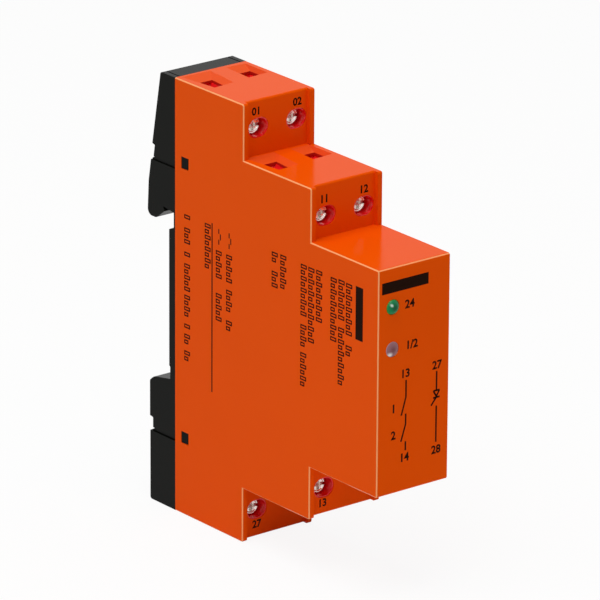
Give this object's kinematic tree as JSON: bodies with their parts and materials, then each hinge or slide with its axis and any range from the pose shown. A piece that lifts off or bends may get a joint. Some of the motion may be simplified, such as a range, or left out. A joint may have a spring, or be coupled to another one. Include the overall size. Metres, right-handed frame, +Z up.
{
  "type": "safety relay",
  "caption": "Narrow rail-mounted safety relay: stepped housing with screw terminals on its steps, status lamps on the front and a hook and sprung latch for the rail.",
  "frame": {"origin": "middle of the face that seats on the front of the rail's lips, on the mid-plane of the housing", "axes": "+X across the narrow width, +Y out of the back towards the wall, +Z up along the height"},
  "size_m": [0.0176, 0.0728, 0.09],
  "materials": {
    "cover_orange": "fine satin moulding",
    "base_black": "fine satin moulding",
    "latch_black": "fine satin moulding",
    "spring_steel": "bright drawn wire",
    "board_green": "solder mask",
    "can_aluminium": "drawn can",
    "chip_black": "moulded package",
    "relay_white": "smooth moulding",
    "lamp_green": "tinted clear resin",
    "lamp_clear": "clear resin",
    "terminal_red": "smooth moulding",
    "screw_nickel": "nickel plated",
    "cage_steel": "nickel plated",
    "bar_tinned": "tinned"
  },
  "bodies": {
    "housing": {"front_cover": "cover_orange", "rear_base": "base_black", "latch_spring": "spring_steel", "circuit_board": "board_green", "smoothing_capacitor": "can_aluminium", "logic_chip_a": "chip_black", "logic_chip_b": "chip_black", "relay_channel_a": "relay_white", "relay_channel_b": "relay_white", "status_led_green": "lamp_green", "status_led_clear": "lamp_clear", "terminal_carrier_top_rear": "terminal_red", "contact_bar_top_rear_1": "bar_tinned", "contact_bar_top_rear_2": "bar_tinned", "terminal_carrier_top_front": "terminal_red", "contact_bar_top_front_1": "bar_tinned", "contact_bar_top_front_2": "bar_tinned", "terminal_carrier_bottom_front": "terminal_red", "contact_bar_bottom_front_1": "bar_tinned", "contact_bar_bottom_front_2": "bar_tinned", "terminal_carrier_bottom_rear": "terminal_red", "contact_bar_bottom_rear_1": "bar_tinned", "contact_bar_bottom_rear_2": "bar_tinned"},
    "rail_latch": {"rail_latch": "latch_black"},
    "screw_top_rear_1": {"terminal_screw_top_rear_1": "screw_nickel"},
    "cage_top_rear_1": {"clamp_cage_top_rear_1": "cage_steel"},
    "screw_top_rear_2": {"terminal_screw_top_rear_2": "screw_nickel"},
    "cage_top_rear_2": {"clamp_cage_top_rear_2": "cage_steel"},
    "screw_top_front_1": {"terminal_screw_top_front_1": "screw_nickel"},
    "cage_top_front_1": {"clamp_cage_top_front_1": "cage_steel"},
    "screw_top_front_2": {"terminal_screw_top_front_2": "screw_nickel"},
    "cage_top_front_2": {"clamp_cage_top_front_2": "cage_steel"},
    "screw_bottom_front_1": {"terminal_screw_bottom_front_1": "screw_nickel"},
    "cage_bottom_front_1": {"clamp_cage_bottom_front_1": "cage_steel"},
    "screw_bottom_front_2": {"terminal_screw_bottom_front_2": "screw_nickel"},
    "cage_bottom_front_2": {"clamp_cage_bottom_front_2": "cage_steel"},
    "screw_bottom_rear_1": {"terminal_screw_bottom_rear_1": "screw_nickel"},
    "cage_bottom_rear_1": {"clamp_cage_bottom_rear_1": "cage_steel"},
    "screw_bottom_rear_2": {"terminal_screw_bottom_rear_2": "screw_nickel"},
    "cage_bottom_rear_2": {"clamp_cage_bottom_rear_2": "cage_steel"}
  },
  "joints": [
    {"name": "rail_latch_slide", "type": "slide", "parent": "housing", "child": "rail_latch", "axis": [0, 0, -1], "range_m": [0, 0.0032], "stiffness_N_per_m": 900, "springref_m": -0.004, "deforming": ["latch_spring"]},
    {"name": "screw_turn_top_rear_1", "type": "hinge", "parent": "housing", "child": "screw_top_rear_1", "pos_m": [-0.00435, -0.0226, 0.0393], "axis": [0, 1, 0], "range_deg": [0, 2016]},
    {"name": "cage_lift_top_rear_1", "type": "slide", "parent": "housing", "child": "cage_top_rear_1", "axis": [0, -1, 0], "range_m": [0, 0.0028]},
    {"name": "screw_turn_top_rear_2", "type": "hinge", "parent": "housing", "child": "screw_top_rear_2", "pos_m": [0.00495, -0.0226, 0.0393], "axis": [0, 1, 0], "range_deg": [0, 2016]},
    {"name": "cage_lift_top_rear_2", "type": "slide", "parent": "housing", "child": "cage_top_rear_2", "axis": [0, -1, 0], "range_m": [0, 0.0028]},
    {"name": "screw_turn_top_front_1", "type": "hinge", "parent": "housing", "child": "screw_top_front_1", "pos_m": [-0.00435, -0.0435, 0.0272], "axis": [0, 1, 0], "range_deg": [0, 2016]},
    {"name": "cage_lift_top_front_1", "type": "slide", "parent": "housing", "child": "cage_top_front_1", "axis": [0, -1, 0], "range_m": [0, 0.0028]},
    {"name": "screw_turn_top_front_2", "type": "hinge", "parent": "housing", "child": "screw_top_front_2", "pos_m": [0.00495, -0.0435, 0.0272], "axis": [0, 1, 0], "range_deg": [0, 2016]},
    {"name": "cage_lift_top_front_2", "type": "slide", "parent": "housing", "child": "cage_top_front_2", "axis": [0, -1, 0], "range_m": [0, 0.0028]},
    {"name": "screw_turn_bottom_front_1", "type": "hinge", "parent": "housing", "child": "screw_bottom_front_1", "pos_m": [-0.00435, -0.0435, -0.0283], "axis": [0, 1, 0], "range_deg": [0, 2016]},
    {"name": "cage_lift_bottom_front_1", "type": "slide", "parent": "housing", "child": "cage_bottom_front_1", "axis": [0, -1, 0], "range_m": [0, 0.0028]},
    {"name": "screw_turn_bottom_front_2", "type": "hinge", "parent": "housing", "child": "screw_bottom_front_2", "pos_m": [0.00495, -0.0435, -0.0283], "axis": [0, 1, 0], "range_deg": [0, 2016]},
    {"name": "cage_lift_bottom_front_2", "type": "slide", "parent": "housing", "child": "cage_bottom_front_2", "axis": [0, -1, 0], "range_m": [0, 0.0028]},
    {"name": "screw_turn_bottom_rear_1", "type": "hinge", "parent": "housing", "child": "screw_bottom_rear_1", "pos_m": [-0.00435, -0.0226, -0.0393], "axis": [0, 1, 0], "range_deg": [0, 2016]},
    {"name": "cage_lift_bottom_rear_1", "type": "slide", "parent": "housing", "child": "cage_bottom_rear_1", "axis": [0, -1, 0], "range_m": [0, 0.0028]},
    {"name": "screw_turn_bottom_rear_2", "type": "hinge", "parent": "housing", "child": "screw_bottom_rear_2", "pos_m": [0.00495, -0.0226, -0.0393], "axis": [0, 1, 0], "range_deg": [0, 2016]},
    {"name": "cage_lift_bottom_rear_2", "type": "slide", "parent": "housing", "child": "cage_bottom_rear_2", "axis": [0, -1, 0], "range_m": [0, 0.0028]}
  ],
  "couplings": [
    {"joint": "screw_turn_top_rear_1", "follows": "cage_lift_top_rear_1", "rad_per_m": 12566},
    {"joint": "screw_turn_top_rear_2", "follows": "cage_lift_top_rear_2", "rad_per_m": 12566},
    {"joint": "screw_turn_top_front_1", "follows": "cage_lift_top_front_1", "rad_per_m": 12566},
    {"joint": "screw_turn_top_front_2", "follows": "cage_lift_top_front_2", "rad_per_m": 12566},
    {"joint": "screw_turn_bottom_front_1", "follows": "cage_lift_bottom_front_1", "rad_per_m": 12566},
    {"joint": "screw_turn_bottom_front_2", "follows": "cage_lift_bottom_front_2", "rad_per_m": 12566},
    {"joint": "screw_turn_bottom_rear_1", "follows": "cage_lift_bottom_rear_1", "rad_per_m": 12566},
    {"joint": "screw_turn_bottom_rear_2", "follows": "cage_lift_bottom_rear_2", "rad_per_m": 12566}
  ]
}
